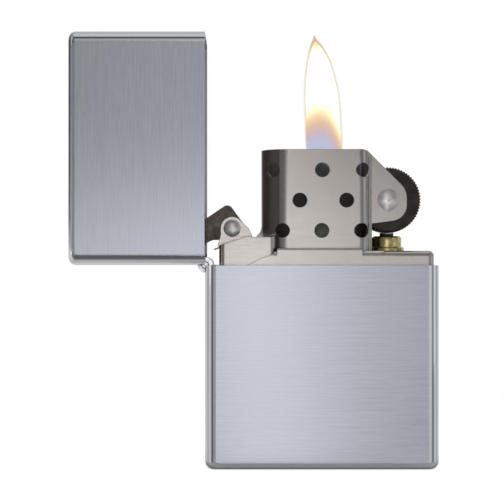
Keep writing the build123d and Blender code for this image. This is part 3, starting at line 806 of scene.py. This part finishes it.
# What reflections see: for each side a tint, and brightness by degrees away from straight in front
BANDS = {
    "right_low": ((0.95, 0.99, 1.04), [
        (0, 0.5), (4, 0.25), (10, 0.5), (20, 0.75), (32, 0.62), (42, 0.3), (52, 0.12),
        (62, 0.4), (72, 0.75), (88, 0.8), (104, 0.62), (140, 0.75), (180, 0.6),
    ]),
    "right_high": ((1.0, 0.96, 0.92), [
        (0, 0.55), (3, 0.45), (7, 0.14), (38, 0.12), (46, 0.5), (56, 0.8), (66, 0.25),
        (80, 0.10), (96, 0.35), (120, 0.6), (180, 0.6),
    ]),
    "left_low": ((1.0, 0.995, 1.02), [
        (0, 0.6), (6, 0.75), (14, 0.6), (24, 0.4), (33, 0.16), (44, 0.12), (54, 0.45),
        (66, 0.72), (80, 0.85), (100, 0.75), (130, 0.65), (180, 0.6),
    ]),
    "left_high": ((1.0, 0.94, 0.88), [
        (0, 0.5), (2.5, 0.3), (5, 0.04), (10, 0.1), (14, 0.02), (20, 0.03), (26, 0.12),
        (33, 0.24), (42, 0.14), (51, 0.04), (60, 0.12), (68, 0.1), (76, 0.03), (92, 0.16),
        (107, 0.05), (125, 0.1), (180, 0.2),
    ]),
    "up": ((0.98, 1.0, 1.01), [
        (0, 0.55), (4, 0.4), (9, 0.3), (16, 0.42), (28, 0.5), (38, 0.12), (50, 0.1),
        (62, 0.3), (76, 0.42), (89, 0.6), (103, 0.5), (120, 0.6), (150, 0.6), (180, 0.5),
    ]),
    "down": ((1.0, 1.0, 1.01), [
        (0, 0.55), (4, 0.45), (7, 0.05), (12, 0.0), (20, 0.0), (27, 0.16), (38, 0.12),
        (49, 0.14), (61, 0.3), (74, 0.6), (87, 0.85), (102, 0.75), (121, 0.75), (180, 0.6),
    ]),
}


def aim(thing, target):
    thing.rotation_mode = "QUATERNION"
    thing.rotation_quaternion = (Vector(target) - thing.location).to_track_quat("-Z", "Y")


def softbox(name, place, target, size, glow, tint=(1, 1, 1)):
    """A panel light of a (width, height) and an even glow, the radiance of its face."""
    width, height = size
    lamp = bpy.data.lights.new(name, "AREA")
    lamp.shape = "RECTANGLE"
    lamp.size = width
    lamp.size_y = height
    lamp.energy = glow * math.pi * width * height
    lamp.color = tint
    box = bpy.data.objects.new(name, lamp)
    bpy.context.scene.collection.objects.link(box)
    box.location = place
    box.visible_camera = False
    aim(box, target)


def camera():
    """Square to the front face, above the hinge's height and left of the case's middle."""
    distance, view_width, sensor = 0.210, 0.0822, 36.0
    lens = bpy.data.cameras.new("camera")
    lens.sensor_width = sensor
    lens.lens = sensor * distance / view_width
    lens.clip_start, lens.clip_end = 0.005, 20
    eye = bpy.data.objects.new("camera", lens)
    bpy.context.scene.collection.objects.link(eye)
    eye.location = (CASE_LOW.x + 7.7 * MM, CASE_LOW.y - distance, HINGE_Z + 2.2 * MM)
    aim(eye, (eye.location.x, 0, eye.location.z))
    bpy.context.scene.camera = eye


def surround():
    """White to the eye; in reflections, bright panels and dark gaps laid out round the -Y direction."""
    world = bpy.data.worlds.new("studio")
    bpy.context.scene.world = world
    world.use_nodes = True
    sky = Nodes(world.node_tree)
    x, y, z = sky.axes(sky.add("TexCoord").outputs["Generated"])
    away = sky.math("DIVIDE", sky.math("ARCCOSINE", sky.math("MULTIPLY", y, -1.0)), math.pi)
    across, upright = sky.math("MULTIPLY", x, x), sky.math("MULTIPLY", z, z)
    beside = sky.math("DIVIDE", across, sky.math("ADD", sky.math("ADD", across, upright), 1e-6))
    shades = {}
    for side, (tint, stops) in BANDS.items():
        colours = [(angle / 180, tuple(level * part for part in tint)) for angle, level in stops]
        shades[side] = sky.ramp(away, *colours)
    # Rays that rise by a degree or more see the high bands, level and falling ones the low bands
    high = sky.spread(z, 0.004, 0.024)
    left = sky.mix(high, shades["left_low"], shades["left_high"])
    right = sky.mix(high, shades["right_low"], shades["right_high"])
    level = sky.mix(sky.math("GREATER_THAN", x, 0.0), left, right)
    steep = sky.mix(sky.math("GREATER_THAN", z, 0.0), shades["down"], shades["up"])
    shown = sky.mix(beside, steep, level)
    seen = sky.add("LightPath").outputs["Is Camera Ray"]
    background = world.node_tree.nodes["Background"]
    sky.feed(background.inputs["Color"], sky.mix(seen, shown, (1.0, 1.0, 1.0)))


def paper_floor():
    """Pale paper that fades into the white surround."""
    mesh = bpy.data.meshes.new("floor")
    build = bmesh.new()
    bmesh.ops.create_circle(build, cap_ends=True, radius=0.5, segments=96)
    build.to_mesh(mesh)
    build.free()
    look = Look("floor_paper", Roughness=0.85)
    x, y, _ = look.axes(look.place())
    fibre = look.noise(0.8, 4.0)
    paper = look.ramp(fibre, (0.3, (0.84, 0.845, 0.85)), (0.7, (0.88, 0.885, 0.89)))
    look.set(Base_Color=paper, Normal=look.bump(fibre, GRAIN, 0.2))
    seen = look.add("LightPath").outputs["Is Camera Ray"]
    look.set(Emission_Color=(1.0, 1.0, 1.0, 1.0), Emission_Strength=look.blend(seen, 0.04, 0.74))
    solid_to, gone_at = 35, 110
    fading = look.spread(look.length(x, y), solid_to, gone_at, 1.0, 0.0)
    # Reflections see only the paper close to the case's foot
    gap = look.length(look.past(x, 0.0, CASE_HIGH.x * TO_MM), look.past(y, 0.0, CASE_HIGH.y * TO_MM))
    near_to, far_from = 2, 9
    near = look.spread(gap, near_to, far_from, 1.0, 0.0)
    look.set(Alpha=look.math("MULTIPLY", fading, look.blend(seen, near, 1.0)))
    new_object("floor", mesh, look.material)


def studio():
    """Surround, floor, strips of light near the camera's axis for the brushed faces, and soft panels."""
    surround()
    paper_floor()
    eye = bpy.context.scene.camera.location
    middle = (eye.x, 0, eye.z)
    cool, level_tint, blue = (0.99, 0.99, 1.02), (0.99, 1.0, 1.01), (0.92, 0.96, 1.0)
    softbox("upright_strip", (eye.x - 0.006, -0.5, eye.z + 0.045), middle, (0.06, 0.35), 0.92, cool)
    softbox("low_strip", (eye.x + 0.012, -0.5, eye.z - 0.25), middle, (0.06, 0.24), 1.45, cool)
    softbox("level_strip", (eye.x + 0.02, -0.5, eye.z - 0.005), middle, (0.24, 0.055), 0.92, level_tint)
    softbox("front_panel", (eye.x + 0.05, -0.51, eye.z - 0.085), middle, (0.13, 0.16), 0.35)
    softbox("top_panel", (-0.05, -0.1, 0.6), middle, (0.5, 0.5), 0.3)
    softbox("left_panel", (-0.55, -0.25, 0.25), middle, (0.25, 0.5), 0.4)
    softbox("right_panel", (0.55, -0.30, 0.20), middle, (0.25, 0.5), 0.25, blue)


# ---------------------------------------------------------------- assembly


def dress():
    """Give every CAD node its material, and put the finer pieces in place."""
    hinge, sheet, rivets = polished_hinge(), insert_sheet(), rivet_steel()
    spring, brass = spring_steel(), turned_brass()
    case_margins = (1.65, 1.8, 1.05, OPEN_END)
    lid_margins = (0.35, OPEN_END, 1.6, 1.75)
    looks = {
        "case_shell": brushed_shell("case_brushed", "X", CASE_LOW, CASE_HIGH, case_margins, 1.1),
        "lid_shell": brushed_shell("lid_brushed", "Z", LID_LOW, LID_HIGH, lid_margins, 1.6),
        "case_hinge_leaf": hinge,
        "lid_hinge_leaf": hinge,
        "hinge_pin": rivets,
        "fuel_can": sheet,
        "wind_guard": sheet,
        "wheel_rivet": rivets,
        "cam_rivet": rivets,
        "cam_spring_rivet": rivets,
        "cam_spring": spring,
        "flint_spring": spring,
        "cam": cam_steel(),
        "flint_tube": brass,
        "flint_plunger": brass,
        "flint_screw": brass,
        "flint": flint_grey(),
    }
    for node, material in looks.items():
        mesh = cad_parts[node].data
        mesh.materials.clear()
        mesh.materials.append(material)

    wheel = toothed_wheel(wheel_steel())
    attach(wheel, "flint_wheel")
    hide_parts("flint_wheel")

    cord, tuft, copper = braided_wick(wick_fibre(), copper_wire())
    for piece in (cord, tuft, copper):
        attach(piece, "insert")
    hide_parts("wick")

    wool = cotton_wool("cotton_wool", (0.62, 0.60, 0.56), (0.90, 0.89, 0.86), 3.0)
    for index in range(1, 6):
        ball = fluffed(f"cotton_puff_{index}", f"cotton_ball_{index}", wool, 0.45 * MM, 0.30 * MM, index * 7)
        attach(ball, "insert")
        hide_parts(f"cotton_ball_{index}")

    felt = cotton_wool("pressed_felt", (0.26, 0.26, 0.26), (0.52, 0.52, 0.51), 7.0)
    pad = fluffed("felt_pad_fibre", "felt_pad", felt, 0.30 * MM, 0.06 * MM, 91)
    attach(pad, "insert")
    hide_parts("felt_pad")

    light_flame()


camera()
dress()
studio()
bpy.context.scene.view_settings.view_transform = "Standard"
